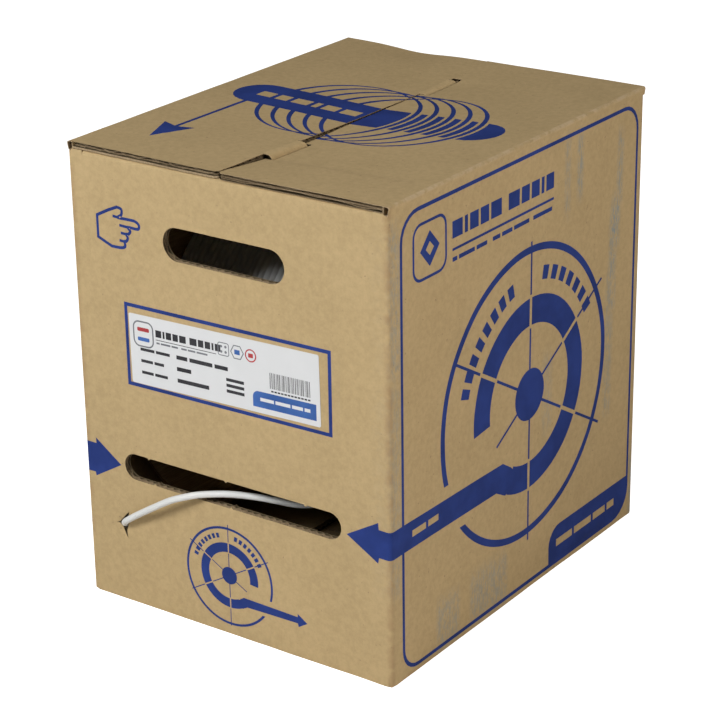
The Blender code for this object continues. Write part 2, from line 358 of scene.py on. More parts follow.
def lathe(profile, count):
    """Rows of points for a ring turned about the reel's axis from (x, radius) points."""
    rows = []
    for i in range(count + 1):
        t = 2 * math.pi * i / count
        rows.append([(x, r * math.cos(t), AXIS_Z + r * math.sin(t)) for x, r in profile])
    return rows


# ---- outlines ----


def polar(centre, radius, degrees):
    t = math.radians(degrees)
    return (centre[0] + radius * math.cos(t), centre[1] + radius * math.sin(t))


def circle(centre, radius, count=0):
    count = count or max(16, int(radius * 1.6) + 12)
    return [polar(centre, radius, 360 * i / count) for i in range(count)]


def ring(centre, inner, outer):
    return [circle(centre, outer), circle(centre, inner)]


def sector(centre, inner, outer, start, stop):
    """Part of a ring between two angles in degrees."""
    count = max(3, int(abs(stop - start) / 5))
    angles = [start + (stop - start) * i / count for i in range(count + 1)]
    return [polar(centre, outer, t) for t in angles] + [polar(centre, inner, t) for t in angles[::-1]]


def bar(a, b, width):
    a, b = np.asarray(a, float), np.asarray(b, float)
    n = np.array([a[1] - b[1], b[0] - a[0]]) / np.linalg.norm(b - a) * width / 2
    return [tuple(a + n), tuple(a - n), tuple(b - n), tuple(b + n)]


def box(x0, z0, x1, z1, radii=(0, 0, 0, 0)):
    """Rectangle with its own radius at each corner: low left, low right, high right, high left."""
    points = []
    corners = ((x0, z0, 180), (x1, z0, 270), (x1, z1, 0), (x0, z1, 90))
    for (x, z, start), r in zip(corners, radii):
        if r == 0:
            points.append((x, z))
            continue
        centre = (x + (r if x == x0 else -r), z + (r if z == z0 else -r))
        points += [polar(centre, r, start + 15 * k) for k in range(7)]
    return points


def frame_line(outline, width):
    """Closed line of the given width along an outline."""
    p, n = np.asarray(outline, float), edge_normals(outline)
    return [[tuple(q) for q in p + n * width / 2], [tuple(q) for q in p - n * width / 2]]


# Outline of a stub left uncut in an opening: along the edge, out of it
NICK = ((-1.4, 0.0), (-0.7, 0.9), (0.1, 1.4), (0.8, 0.6), (1.3, 0.0))


def stadium(cx, cz, length, height, nicks=()):
    """Slot outline run clockwise, with a small uncut stub at each (x, side) of nicks."""
    r, half = height / 2, length / 2 - height / 2
    points = []
    for side in (1, -1):
        points += [polar((cx + side * half, cz), side * r, 90 - 180 * i / 16) for i in range(17)]
        stubs = [x for x, place in nicks if place == -side]
        run = [(x + dx, rise) for x in stubs for dx, rise in NICK]
        run += [(x, 0.0) for x in np.linspace(cx - half, cx + half, 25)[1:-1]
                if all(abs(x - stub) > 2.5 for stub in stubs)]
        points += [(x, cz - side * (r - rise)) for x, rise in sorted(run, reverse=side > 0)]
    return points


def words(kind, x, z, lengths, height, gap):
    """A line of plain blocks where the print has words; a length below 0 is left bare."""
    blocks = []
    for length in lengths:
        if length > 0:
            blocks.append((kind, [box(x, z - height / 2, x + length, z + height / 2)]))
        x += abs(length) + gap
    return blocks


# ---- where board lies ----

# Walls: middle of each side along u, half its length, its middle in plan, direction along, inward
SIDES = ((-PERIMETER_HALF, HALF_D, (-HALF_W, 0), (0, -1), (1, 0)),
         (0.0, HALF_W, (0, -HALF_D), (1, 0), (0, 1)),
         (PERIMETER_HALF, HALF_D, (HALF_W, 0), (0, 1), (-1, 0)),
         (REAR, HALF_W, (0, HALF_D), (-1, 0), (0, -1)))
STUB = (-107.5, 62.5)       # middle of the cross-cut that holds the cable's end


def smoothstep(value, start, stop):
    t = min(1.0, max(0.0, (value - start) / (stop - start)))
    return t * t * (3 - 2 * t)


def ripple(u, v, room):
    """How far the wall's board gives inward of its flat plane; room is the way to the corner."""
    soft = 0.45 * max(0.0, noise.noise((u * 0.013, v * 0.013, 4.0)) + 0.35)
    fine = 0.16 * (noise.noise((u * 0.05, v * 0.05, 9.0)) + 0.5)
    away = smoothstep(v, 352, 335)
    dent = 1.6 * math.exp(-(math.hypot(u - STUB[0] - 1, v - STUB[1]) / 7.5) ** 2)
    return (soft + fine) * away * smoothstep(room, -2, 30) + dent


def wall_place(u, v, depth):
    side = min(SIDES, key=lambda s: abs(u - s[0]) - s[1])
    centre, half, middle, along, inward = side
    s = u - centre
    sign = 1 if s > 0 else -1
    room = half - abs(s)
    corner = SHARP_CORNER if u < 0 else CORNER
    loose = (side is SIDES[0] and sign < 0) or (side is SIDES[3] and sign > 0)
    inset = depth
    if not loose and room < corner and depth < corner:
        turn = (1 - max(0.0, room) / corner) * math.pi / 4
        s = sign * (half - corner + (corner - depth) * math.sin(turn))
        inset = corner - (corner - depth) * math.cos(turn)
        give = ripple(u, v, room)
        s -= sign * give * math.sin(turn)
        inset += give * math.cos(turn)
    else:
        if not loose:
            s = sign * min(abs(s), half - max(depth, 0.0))
        inset += ripple(u, v, room)
    return (middle[0] + along[0] * s + inward[0] * inset, middle[1] + along[1] * s + inward[1] * inset, v)


# How low each long flap hangs along the seam: y, drop
SEAM_SAG = {
    -1: ((-173, 0.3), (-120, 1.0), (-80, 2.6), (0, 4.0), (60, 4.5), (100, 4.7), (150, 2.5), (173, 0.7)),
    1: ((-173, 0.3), (-125, 4.2), (-80, 5.2), (0, 4.5), (100, 4.7), (150, 2.0), (173, 0.3)),
}


def drop(side, x, y):
    """Sag of a long flap at a point; side is -1 for the left flap and 1 for the right one."""
    ys, drops = zip(*SEAM_SAG[side])
    depth = sum(np.interp(y + k * 6, ys, drops) for k in (-2, -1, 0, 1, 2)) / 5
    share = min(1.1, max(0.0, (HALF_W - side * x) / HALF_W))
    tip = 0.35 * smoothstep(y, -121.5, -118.5) * smoothstep(y, 124, 118) * min(1, share * 3)
    dip = 2.4 * math.exp(-((x + 68) / 30) ** 2 - ((HALF_D - y) / 22) ** 2) if side < 0 else 0.0
    wave = 0.25 * noise.noise((x * 0.02, y * 0.02, 3.0 + side)) * min(1, share * 4)
    return depth * share ** 1.3 + tip * (0.3 if side < 0 else 1.3) + dip + wave


def flap_place(side):
    return lambda x, y, depth: (x, y, HEIGHT - depth * FLAP_THICK / BOARD - drop(side, x, y))


def short_sag(x, y):
    """Short flaps lie on the undersides of the long ones and sag with them."""
    left = smoothstep(x, -2, -16)
    return drop(-1, x, y) * left + drop(1, x, y) * (1 - left)


def short_place(x, y, depth):
    swing = 0.1 + 0.08 * (HALF_D - BOARD - abs(y))     # more sag would push it through the wall
    return (x, y, SHORT_TOP - depth - min(short_sag(x, y), swing))


# ---- prints ----


def reel_mark(cx, cz, size, toward, reach, head=False):
    """Plain drawing of a reel: hub, spokes, winding, rim, and its cable's tail led away."""
    c = (cx, cz)

    def at(*points):
        return [(cx + toward * a * size, cz + b * size) for a, b in points]

    turn = (lambda t: t) if toward > 0 else (lambda t: 180 - t)
    rim = (cx - 0.04 * size, cz + 0.01 * size) if toward < 0 else (cx, cz - 0.02 * size)
    shapes = [(BLUE, ring(rim, size * 0.963, size * 1.012))]
    spokes = [30 + 60 * k for k in range(6)]
    shapes += [(BLUE, [bar(c, polar(c, size * 1.05, t), size * 0.019)]) for t in spokes]
    shapes.append((BLUE, [sector(c, size * 0.48, size * 0.67, turn(-66), turn(-66 - 300))]))
    shapes += [(SKIN, [bar(polar(c, size * 0.46, t), polar(c, size * 0.69, t), size * 0.026)])
               for t in spokes]
    shapes.append((BLUE, [circle(c, size * 0.178)]))
    for start, stop, count in ((163, 102, 8), (80, 24, 7)):
        for k in range(count):
            a, b = start + (stop - start) * k / count, start + (stop - start) * (k + 0.62) / count
            shapes.append((BLUE, [sector(c, size * 0.765, size * 0.86, a, b)]))
    shapes.append((SKIN, [at((0.55, -0.27), (1.15, -0.27), (1.15, -0.62), (0.55, -0.62))]))
    tail = [(0.32, -0.372), (0.218, -0.437), (0.1, -0.56), (0.291, -0.611), (0.399, -0.553)]
    if head:
        tail += [(1.57, -0.53), (1.59, -0.6), (1.79, -0.478), (1.57, -0.332), (1.57, -0.40)]
    else:
        tail += [(reach, -0.535), (reach, -0.345)]
    shapes.append((BLUE, [at(*tail)]))
    return shapes


def side_prints():
    """Graphics of a side wall, with a for the distance from the front corner."""
    w = 2 * HALF_D
    shapes = [(BLUE, frame_line(box(15.3, 5.7, w - 9.5, 349, (18, 22, 20, 20)), 3.0))]
    shapes += reel_mark(183, 162.3, 114.5, -1, 1.69)
    shapes.append((BLUE, [box(214.7, 5, w - 10, 37, (0, 20, 0, 16))]))
    shapes += words(SKIN, 226, 21.5, (24, 26, 19, 11), 6.0, 3.2)
    shapes += words(SKIN, 27, 111.5, (17, 13), 5.0, 3.0)
    shapes += [(BLUE, frame_line(box(30, 297, 70, 337, (9, 9, 9, 9)), 2.2)),
               (BLUE, [[(50, 304), (62, 317), (50, 330), (38, 317)],
                       [(50, 312), (45, 317), (50, 322), (55, 317)]]),
               (BLUE, [[(w - 2.5, 350.2), (w + 1, 350.6), (w + 1, 353), (w - 1, 353)]])]
    shapes += words(BLUE, 78, 321.5, (13, 4, 11, 11, 14, -4, 15, 11, 11, 4, 11), 12.5, 2.6)
    shapes.append((BLUE, [bar((78, 307.2), (213, 307.2), 2.0)]))
    shapes += words(BLUE, 78, 300, (6, 20, 14, -3, 10, 14, 21, -1, 26), 3.2, 2.2)
    return shapes


def moved(shapes, change):
    return [(kind, [[change(a, b) for a, b in outline] for outline in outlines]) for kind, outlines in shapes]


def hand_icon():
    """A plain pointing hand in outline."""
    wrist = [(-115.2, 291.8), (-115.2, 299), (-115.2, 308.4), (-105.2, 313.6)]
    fingers = [(-96.2, 317.6), (-92.0, 316.6), (-92.2, 312.4), (-95.6, 309.9), (-88, 309.9), (-80, 309.8),
               (-76.2, 307.4), (-77.6, 304.2), (-86.5, 304.1), (-84.6, 301.4), (-86.4, 298.9),
               (-88.6, 298.4), (-87.3, 295.6), (-88.9, 293.0), (-90.6, 292.4), (-90.2, 289.0),
               (-94, 287.2), (-102.9, 286.9)]
    outline = wrist + catmull(fingers, 4)
    lines = (((-100.5, 310.2), (-95.0, 309.9)), ((-94.6, 304.3), (-86, 304.0)),
             ((-93.6, 298.6), (-87.8, 298.5)), ((-95.2, 292.7), (-90.2, 292.4)))
    return [(BLUE, frame_line(outline[::-1], 2.3))] + [(BLUE, [bar(a, b, 2.1)]) for a, b in lines]


def front_prints():
    frame_box = [(-92.8, 182.6), (89.1, 184.8), (89.1, 246.7), (-92.8, 244.6)]
    shapes = [(BLUE, frame_line(frame_box, 2.9)),
              (BLUE, [[(-105.5, 112.9), (-129.4, 129.8), (-129.2, 125.2), (-145, 125.5), (-145, 105.2),
                       (-132.0, 103.6), (-131.1, 97.9)]]),
              (BLUE, [[(101.1, 112.2), (128.4, 128.1), (128.8, 122.8), (128.8, 100.9), (128.0, 96.5)]])]
    return shapes + hand_icon() + reel_mark(-5.9, 48.7, 39.5, 1, 0, head=True)


def crescent(cx, cy, start, stop, grow=0.0):
    """Stroke of one turn of the coil, thick at its sides and thin at its ends."""
    count = 40
    angles = [math.radians(start + (stop - start) * k / count) for k in range(count + 1)]
    outer = [(cx + (59.6 + grow) * math.cos(t), cy + (66.8 + grow) * math.sin(t)) for t in angles]
    inner = [(cx + (55.4 - grow) * math.cos(t), cy + (65.0 - grow) * math.sin(t)) for t in angles]
    return outer + inner[::-1]


def top_prints(side):
    """Drawing of a cable coiled over a bar; side is -1 for the left flap and 1 for the right one."""
    shift = 3.2 if side < 0 else 6.0
    coils = [(-28 + 14.8 * k, shift + 0.8) for k in range(5)]
    shapes = [(BLUE, [crescent(*c, 84, 276)]) for c in coils]
    shapes.append((BLUE, [box(-120.6, shift - 23, 114, shift + 23, (22.9, 22.9, 22.9, 22.9))]))
    shapes += words(SKIN, -100, shift, (13, 11, 15, 5, 13, 15), 11, 4.0)
    shapes += [(SKIN, [crescent(*c, -24, 24, 2.3)]) for c in coils]
    shapes += [(BLUE, [crescent(*c, -96, 96)]) for c in coils]
    shapes.append((BLUE, [bar((-96.8, shift - 20), (-97.4, -104), 3.2)]))
    shapes.append((BLUE, [[(-98.0, -131.5), (-83.0, -97.6), (-97.3, -101.8), (-111.8, -96.8)]]))
    return shapes


def label_prints():
    """Blocks, icons and bars on the white label, in millimetres from the label's low left corner."""
    shapes = [(GREY, frame_line(box(4, 30, 22, 49, (5, 5, 5, 5)), 1.2)),
              (BLUE, [box(7.5, 34, 18.5, 37, (1, 1, 1, 1))]),
              (RED, [box(7.5, 41.5, 18.5, 44.5, (1, 1, 1, 1))])]
    shapes += words(DARK, 24.5, 42.3, (5.5, 1.8, 5, 5, 6, -1, 6.5, 5, 5, 1.8, 5), 5.4, 1.2)
    shapes.append((DARK, [bar((24.5, 37.4), (80, 37.4), 0.5)]))
    shapes += words(GREY, 25, 35, (3, 9, 6, -1, 5, 7, 10), 1.4, 1.0)
    shapes.append((GREY, frame_line(box(82, 37.5, 91.5, 47, (1.5, 1.5, 1.5, 1.5)), 0.7)))
    shapes += [(GREY, [circle((86.75 + dx, 42.25 + dz), 1.1, 10)]) for dx in (-2, 2) for dz in (-2, 2)]
    shapes += [(GREY, frame_line(circle((99, 42.2), 5.6, 6)[::-1], 0.8)),
               (BLUE, [box(96.6, 40.4, 101.4, 44)]),
               (RED, ring((111, 42), 4.0, 5.0)), (RED, [box(108.9, 40.4, 113.1, 43.6)])]
    for z, name, value in ((27.6, (13, 13), (10, 21, 12)), (18.6, (11, 9), (13,)), (9.6, (11, 12), (29,))):
        shapes += words(DARK, 9.5, z, name, 2.3, 1.4)
        shapes += words(DARK, 43, z, value, 3.1, 2.0)
    shapes += [(DARK, [box(88, z, 104, z + 2.4)]) for z in (9.6, 14.0, 18.4)]
    x, width = 127.0, 0.55
    for k in range(38):
        thick = width * (0.5 + ((k * 7) % 5) / 4)
        shapes.append((DARK, [box(x, 20.5, x + thick * 0.8, 32.5)]))
        x += thick + width * (0.35 + ((k * 3) % 4) / 3)
        if x > 162:
            break
    shapes += words(DARK, 128, 18.5, (2.2,) * 12, 1.2, 0.7)
    shapes.append((BLUE, [box(111.5, 4.2, 167, 16.4, (0, 0, 0, 5))]))
    shapes += words(SKIN, 118, 10.5, (12, 13, 9.5, 5), 2.6, 1.4)
    return shapes


# ---- materials ----


class Graph:
    """A material's nodes written as short formulas; sockets go in and come out."""

    def __init__(self, name, roughness, specular):
        self.material = bpy.data.materials.new(name)
        self.material.use_nodes = True
        self.tree = self.material.node_tree
        self.shader = self.tree.nodes["Principled BSDF"]
        self.shader.inputs["Roughness"].default_value = roughness
        self.shader.inputs["Specular IOR Level"].default_value = specular
        self.coord = self.tree.nodes.new("ShaderNodeTexCoord")
        self.point = self.coord.outputs["Object"]

    def put(self, socket, value):
        if isinstance(value, bpy.types.NodeSocket):
            self.tree.links.new(value, socket)
        elif isinstance(value, tuple) and len(value) == 3 and socket.type == "RGBA":
            socket.default_value = (*value, 1.0)
        else:
            socket.default_value = value

    def math(self, operation, *values):
        node = self.tree.nodes.new("ShaderNodeMath")
        node.operation = operation
        for socket, value in zip(node.inputs, values):
            self.put(socket, value)
        return node.outputs[0]

    def add(self, a, b):
        return self.math("ADD", a, b)

    def less(self, a, b):
        return self.math("SUBTRACT", a, b)

    def size(self, value):
        return self.math("ABSOLUTE", value)

    def step(self, value, start, stop, low=0.0, high=1.0):
        node = self.tree.nodes.new("ShaderNodeMapRange")
        node.interpolation_type = "SMOOTHSTEP"
        for socket, v in zip(node.inputs, (value, start, stop, low, high)):
            self.put(socket, v)
        return node.outputs[0]

    def split(self, vector):
        node = self.tree.nodes.new("ShaderNodeSeparateXYZ")
        self.put(node.inputs[0], vector)
        return node.outputs

    def stretch(self, scale, shift=(0, 0, 0)):
        node = self.tree.nodes.new("ShaderNodeMapping")
        self.put(node.inputs["Vector"], self.point)
        node.inputs["Scale"].default_value = scale
        node.inputs["Location"].default_value = shift
        return node.outputs[0]

    def noise(self, vector, scale, detail=3.0, roughness=0.55, distortion=0.0):
        node = self.tree.nodes.new("ShaderNodeTexNoise")
        for name, value in (("Vector", vector), ("Scale", scale), ("Detail", detail),
                            ("Roughness", roughness), ("Distortion", distortion)):
            self.put(node.inputs[name], value)
        return node.outputs[0]

    def mix(self, share, a, b):
        node = self.tree.nodes.new("ShaderNodeMix")
        node.data_type = "RGBA"
        self.put(node.inputs[0], share)
        self.put(node.inputs[6], a)
        self.put(node.inputs[7], b)
        return node.outputs[2]

    def band(self, value, middle, half, soft):
        """1 within half of the middle, falling to 0 over soft."""
        return self.step(self.size(self.less(value, middle)), half, half + soft, 1.0, 0.0)

    def times(self, *values):
        product = values[0]
        for value in values[1:]:
            product = self.math("MULTIPLY", product, value)
        return product

    def finish(self, colour, height, strength=0.3, distance=0.0004, roughness=None):
        self.put(self.shader.inputs["Base Color"], colour)
        bump = self.tree.nodes.new("ShaderNodeBump")
        bump.inputs["Strength"].default_value = strength
        bump.inputs["Distance"].default_value = distance
        self.put(bump.inputs["Height"], height)
        self.put(self.shader.inputs["Normal"], bump.outputs[0])
        if roughness is not None:
            self.put(self.shader.inputs["Roughness"], roughness)
        return self.material


def flute_waves(g):
    """Faint washboard of the fluting: over x on front and rear, over y on the sides and top."""
    x, y, _ = g.split(g.point)
    facing = g.step(g.size(g.split(g.coord.outputs["Normal"])[1]), 0.5, 0.6)
    over = g.add(g.times(x, facing), g.times(y, g.less(1.0, facing)))
    wobble = g.times(g.noise(g.point, 12, 2), 0.006)
    return g.math("SINE", g.times(g.add(over, wobble), 2 * math.pi / 0.0074))


def kraft(name, tone=1.0, marks=False):
    """Brown board: clouds, flecks, fibres and specks; marks adds the outer skin's rubbed corners and ink
    set-off, and makes it lighter in patches along the outer top of the long creases.
    """
    g = Graph(name, 0.78, 0.28)
    x, y, z = g.split(g.point)
    cloud = g.noise(g.point, 16, 4, 0.6)
    fleck = g.noise(g.point, 240, 5, 0.72)
    fibre = g.noise(g.stretch((900, 900, 260)), 1.0, 4, 0.7, 0.6)
    dark = tuple(tone * c for c in (0.440, 0.322, 0.160))
    pale = tuple(tone * c for c in (0.560, 0.412, 0.214))
    share = g.add(g.times(g.step(cloud, 0.25, 0.75), 0.28), g.times(g.step(fleck, 0.25, 0.75), 0.72))
    colour = g.mix(share, dark, pale)
    bright = tuple(tone * c for c in (0.66, 0.53, 0.33))
    colour = g.mix(g.times(g.step(fibre, 0.58, 0.75), 0.15), colour, bright)
    speck = g.step(g.noise(g.stretch((1, 1, 1), (3, 1, 2)), 330, 2, 0.5), 0.70, 0.76)
    colour = g.mix(g.times(speck, 0.5), colour, (0.20, 0.13, 0.07))
    if marks:
        colour = rubbed_corners(g, colour, x, y)
        colour = smears(g, colour, x, y, z)
        # lighter in patches along the outer top of the long creases' round
        crest = g.times(g.step(g.size(x), 0.1365, 0.1385), g.step(z, 0.3570, 0.3590),
                        g.step(g.noise(g.point, 130, 4, 0.7), 0.35, 0.6), 0.4)
        colour = g.mix(crest, colour, (0.72, 0.58, 0.40))
    waves = g.times(flute_waves(g), 0.10)
    return g.finish(colour, g.add(g.add(fibre, g.times(fleck, 0.8)), waves), 0.35, 0.00022)


def rubbed_corners(g, colour, x, y):
    off_x, off_y = g.less(g.size(x), HALF_W * MM), g.less(g.size(y), HALF_D * MM)
    away = g.math("POWER", g.add(g.times(off_x, off_x), g.times(off_y, off_y)), 0.5)
    rubbed = g.times(g.step(away, 0.0062, 0.0015),
                     g.step(g.noise(g.point, 95, 3, 0.6), 0.35, 0.65), 0.5)
    return g.mix(rubbed, colour, (0.36, 0.23, 0.115))


def smears(g, colour, x, y, z):
    """Set-off of blue ink on the right wall: y and z of each patch's middle, half sizes."""
    patches = ((0.1335, 0.262, 0.0030, 0.010, 1.0), (0.130, 0.232, 0.0022, 0.030, 0.75),
               (0.127, 0.165, 0.0025, 0.050, 0.55), (0.1385, 0.305, 0.0012, 0.018, 0.7),
               (0.078, 0.322, 0.0008, 0.014, 0.8), (0.060, 0.318, 0.0008, 0.020, 0.5),
               (-0.1655, 0.290, 0.0025, 0.045, 0.55), (-0.166, 0.150, 0.0025, 0.070, 0.40),
               (0.1715, 0.028, 0.0015, 0.020, 0.9), (-0.10, 0.022, 0.012, 0.010, 0.55),
               (-0.045, 0.024, 0.022, 0.010, 0.6), (0.035, 0.155, 0.004, 0.022, 0.35))
    streak = g.noise(g.stretch((140, 700, 170)), 1.0, 5, 0.75)
    total = 0.0
    for py, pz, half_y, half_z, weight in patches:
        patch = g.times(g.band(y, py, half_y, 0.006), g.band(z, pz, half_z, 0.02), weight)
        total = g.math("MAXIMUM", patch, total)
    share = g.times(total, g.step(streak, 0.40, 0.60), g.step(x, 0.12, 0.13), 0.6)
    return g.mix(share, colour, (0.110, 0.265, 0.370))


def edge_paper():
    g = Graph("kraft_cut_edge", 0.85, 0.2)
    fray = g.noise(g.point, 700, 5, 0.75)
    patch = g.noise(g.point, 60, 3, 0.6)
    colour = g.mix(g.step(fray, 0.3, 0.7), (0.235, 0.168, 0.095), (0.46, 0.35, 0.215))
    colour = g.mix(g.times(g.step(patch, 0.5, 0.7), 0.35), colour, (0.19, 0.13, 0.075))
    return g.finish(colour, fray, 0.5, 0.0003)


def ink(name, rgb):
    """Printed ink: the board's grain shows through in pale pinholes."""
    g = Graph(name, 0.72, 0.12)
    grain = g.noise(g.point, 420, 4, 0.7)
    cloud = g.noise(g.point, 30, 3, 0.6)
    deep = tuple(c * 0.86 for c in rgb)
    light = tuple(c * 1.16 for c in rgb)
    colour = g.mix(g.step(cloud, 0.3, 0.7), deep, light)
    pin = g.times(g.step(grain, 0.62, 0.78), 0.2)
    colour = g.mix(pin, colour, tuple(0.6 * a + 0.4 * b for a, b in zip(rgb, (0.3, 0.27, 0.25))))
    return g.finish(colour, g.add(grain, g.times(flute_waves(g), 0.10)), 0.3, 0.0002)


def paper():
    g = Graph("label_paper", 0.45, 0.4)
    soft = g.noise(g.point, 40, 3, 0.6)
    fine = g.noise(g.point, 900, 3, 0.6)
    colour = g.mix(soft, (0.70, 0.715, 0.73), (0.76, 0.772, 0.785))
    return g.finish(colour, g.add(soft, g.times(fine, 0.15)), 0.15, 0.0003)


def jacket():
    g = Graph("cable_jacket", 0.42, 0.45)
    soft = g.noise(g.point, 55, 3, 0.6)
    fine = g.noise(g.point, 1400, 3, 0.6)
    scuff = g.step(g.noise(g.stretch((300, 300, 120)), 1.0, 4, 0.7), 0.62, 0.75)
    colour = g.mix(soft, (0.72, 0.735, 0.73), (0.80, 0.81, 0.795))
    colour = g.mix(g.times(scuff, 0.25), colour, (0.46, 0.47, 0.46))
    rough = g.step(fine, 0.3, 0.7, 0.36, 0.5)
    return g.finish(colour, g.add(fine, soft), 0.12, 0.0002, rough)


def plywood():
    g = Graph("plywood", 0.6, 0.35)
    x = g.split(g.point)[0]
    grain = g.noise(g.stretch((60, 22, 300)), 1.0, 5, 0.65, 1.2)
    fine = g.noise(g.stretch((500, 120, 1800)), 1.0, 4, 0.7)
    colour = g.mix(g.step(grain, 0.3, 0.7), (0.47, 0.31, 0.165), (0.66, 0.49, 0.30))
    colour = g.mix(g.times(g.step(fine, 0.55, 0.75), 0.35), colour, (0.36, 0.22, 0.11))
    rim = g.step(g.size(g.split(g.coord.outputs["Normal"])[0]), 0.6, 0.4)
    plies = g.step(g.math("SINE", g.times(x, 2 * math.pi / 0.0024)), -0.2, 0.4)
    colour = g.mix(g.times(rim, plies, 0.75), colour, (0.30, 0.185, 0.095))
    return g.finish(colour, g.add(grain, fine), 0.35, 0.0003)


def tube_board():
    g = Graph("paper_tube", 0.8, 0.25)
    x, y, z = g.split(g.point)
    wrap = g.math("ARCTAN2", g.less(z, AXIS_Z * MM), y)
    spiral = g.math("SINE", g.add(g.times(x, 2 * math.pi / 0.06), wrap))
    seam = g.step(g.size(spiral), 0.03, 0.0)
    fibre = g.noise(g.point, 300, 5, 0.7)
    colour = g.mix(g.step(fibre, 0.3, 0.7), (0.33, 0.235, 0.145), (0.46, 0.345, 0.225))
    colour = g.mix(g.times(seam, 0.6), colour, (0.2, 0.13, 0.08))
    return g.finish(colour, g.less(fibre, seam), 0.4, 0.0003)


def plastic():
    g = Graph("bush_plastic", 0.42, 0.45)
    fine = g.noise(g.point, 900, 4, 0.6)
    soft = g.noise(g.point, 60, 3, 0.6)
    colour = g.mix(soft, (0.035, 0.035, 0.038), (0.06, 0.06, 0.064))
    return g.finish(colour, fine, 0.2, 0.0002, g.step(soft, 0.3, 0.7, 0.36, 0.52))


def steel():
    g = Graph("zinc_steel", 0.35, 0.5)
    g.shader.inputs["Metallic"].default_value = 1.0
    spangle = g.noise(g.point, 260, 3, 0.6, 0.8)
    fine = g.noise(g.point, 1500, 4, 0.7)
    colour = g.mix(g.step(spangle, 0.35, 0.65), (0.50, 0.50, 0.49), (0.68, 0.68, 0.66))
    return g.finish(colour, fine, 0.2, 0.0001, g.step(spangle, 0.3, 0.7, 0.26, 0.44))


# ---- carton ----


def wall_top(u):
    """The front and rear walls reach up to the long flaps; the side walls end at their creases."""
    middle = 0 if u < PERIMETER_HALF else REAR
    return WALL_TOP + (1.0 if abs(u - middle) < HALF_W - 3 else -0.2)


def wall_loops():
    """Outline of the unrolled walls, and their openings."""
    left, right = SHEET_LEFT, SHEET_RIGHT
    slot_x = SHORT_HIGH.x + 0.35
    crease = WALL_TOP - CREASE_DEPTH
    outline = [(u, BASE_ROUND) for u in np.linspace(left, right, 200)]
    outline += [(right, v) for v in np.linspace(BASE_ROUND, WALL_TOP + 1.0, 45)[1:]]
    steps = [(REAR + slot_x, REAR - slot_x), (slot_x, -slot_x)]
    here = right
    for start, stop in [*steps, (left, left)]:
        breaks = [c + k for c in CORNERS for k in (-3.5, -2.5, 2.5, 3.5)]
        run = [*np.arange(start + 6, here, 6), *[c for c in breaks if start < c < here], here]
        outline += [(u, wall_top(u)) for u in sorted(set(run), reverse=True) if u != right]
        if start > left:
            outline.append((start, wall_top(start)))
            outline += [(u, crease) for u in np.linspace(start, stop, 43)]
        here = stop
    outline += [(left, v) for v in np.linspace(wall_top(left), BASE_ROUND, 45)[:-1]]
    front_nicks = [(-78, 1), (-5.9, 1), (65.6, 1), (-72.9, -1), (-1.5, -1)]
    hand = stadium(*HAND_HOLE)
    rear = [(u + REAR, v) for u, v in stadium(-HAND_HOLE[0], *HAND_HOLE[1:])]
    slot = stadium(*PAYOUT_SLOT, nicks=front_nicks)
    stub = [(-100.7, 75.5), (-102.0, 66.0), (-104.2, 58.3), (-102.9, 52.5), (-108.3, 60.6),
            (-110.9, 63.3), (-113.8, 63.2), (-110.8, 64.7), (-106.4, 69.5)]
    return [outline, hand, rear, slot, stub[::-1] if area(stub) > 0 else stub]


def area(loop):
    a = np.asarray(loop, float)
    b = np.roll(a, -1, axis=0)
    return float((a[:, 0] * b[:, 1] - b[:, 0] * a[:, 1]).sum() / 2)


def wall_edge(u, v):
    if v <= BASE_ROUND + 0.01:
        return FOLD
    if v >= WALL_TOP - 7 or u > SHEET_RIGHT - 0.7:
        return FLAT
    return RAW


def make_walls(skins):
    loops = wall_loops()
    across = side_prints()
    shapes = front_prints()
    shapes += moved(across, lambda a, b: (HALF_W + a, b))
    shapes += moved(across, lambda a, b: (-HALF_W - a, b))
    shapes += moved(reel_mark(0, 48.7, 39.5, 1, 0, head=True), lambda a, b: (REAR + a, b))
    lines = []
    heights = np.linspace(BASE_ROUND + 0.5, WALL_TOP - 0.7, 46)
    for corner in CORNERS:
        for k in (-1, -0.67, -0.33, 0, 0.33, 0.67, 1):
            lines.append([(corner + k * CORNER, v) for v in heights])
    extra = [polar(STUB, r, 20 * k) for r in (5, 8, 11, 14, 18) for k in range(18)]
    body = Body()
    board(body, loops, wall_place, shapes, 9.0, lines, extra, wall_edge)
    for loop in loops[1:]:
        fluting(body, loop, wall_place, lambda u, v: u, wander=0.35)
    fluting(body, loops[0], wall_place, lambda u, v: u, step=3,
            only=lambda u, v: u < SHEET_LEFT + 0.1 and BASE_ROUND + 1 < v < WALL_TOP - 1)
    body.make("carton_shell", skins, "carton", ["carton_walls"])


def seam_gap(y):
    """Width of the gap at the seam: it opens in front of each tab."""
    return (0.15 + 1.1 * smoothstep(y, -172, -122) * smoothstep(y, -100, -118)
            + 0.45 * smoothstep(y, -80, -72) * smoothstep(y, 25, -15))


def seam_edge(side):
    """Points of a long flap's free edge from front to rear, with room for the tabs."""
    points = []
    rear_slack = 1.2 if side < 0 else 4.4
    steps = [y for low, high in TABS
             for y in (low - 0.3, low - 0.1, high + rear_slack, high + rear_slack + 0.2)]
    ys = [y for y in np.arange(-HALF_D, HALF_D - 0.1, 2.5) if all(abs(y - step) > 0.3 for step in steps)]
    for y in sorted([*ys, *steps, HALF_D]):
        x = SEAM_LEFT + 0.35 * noise.noise((y * 0.05, 7.0, side)) + 0.15 * noise.noise((y * 0.4, 2.0, side))
        for low, high in TABS:
            if low - 0.2 < y < high + rear_slack + 0.1:
                x = TAB_FACE - TAB_FOLD - TAB_REACH + 0.1 if side < 0 else TAB_FACE + 0.6 - seam_gap(y)
        points.append((x if side < 0 else x + seam_gap(y), y))
    return points


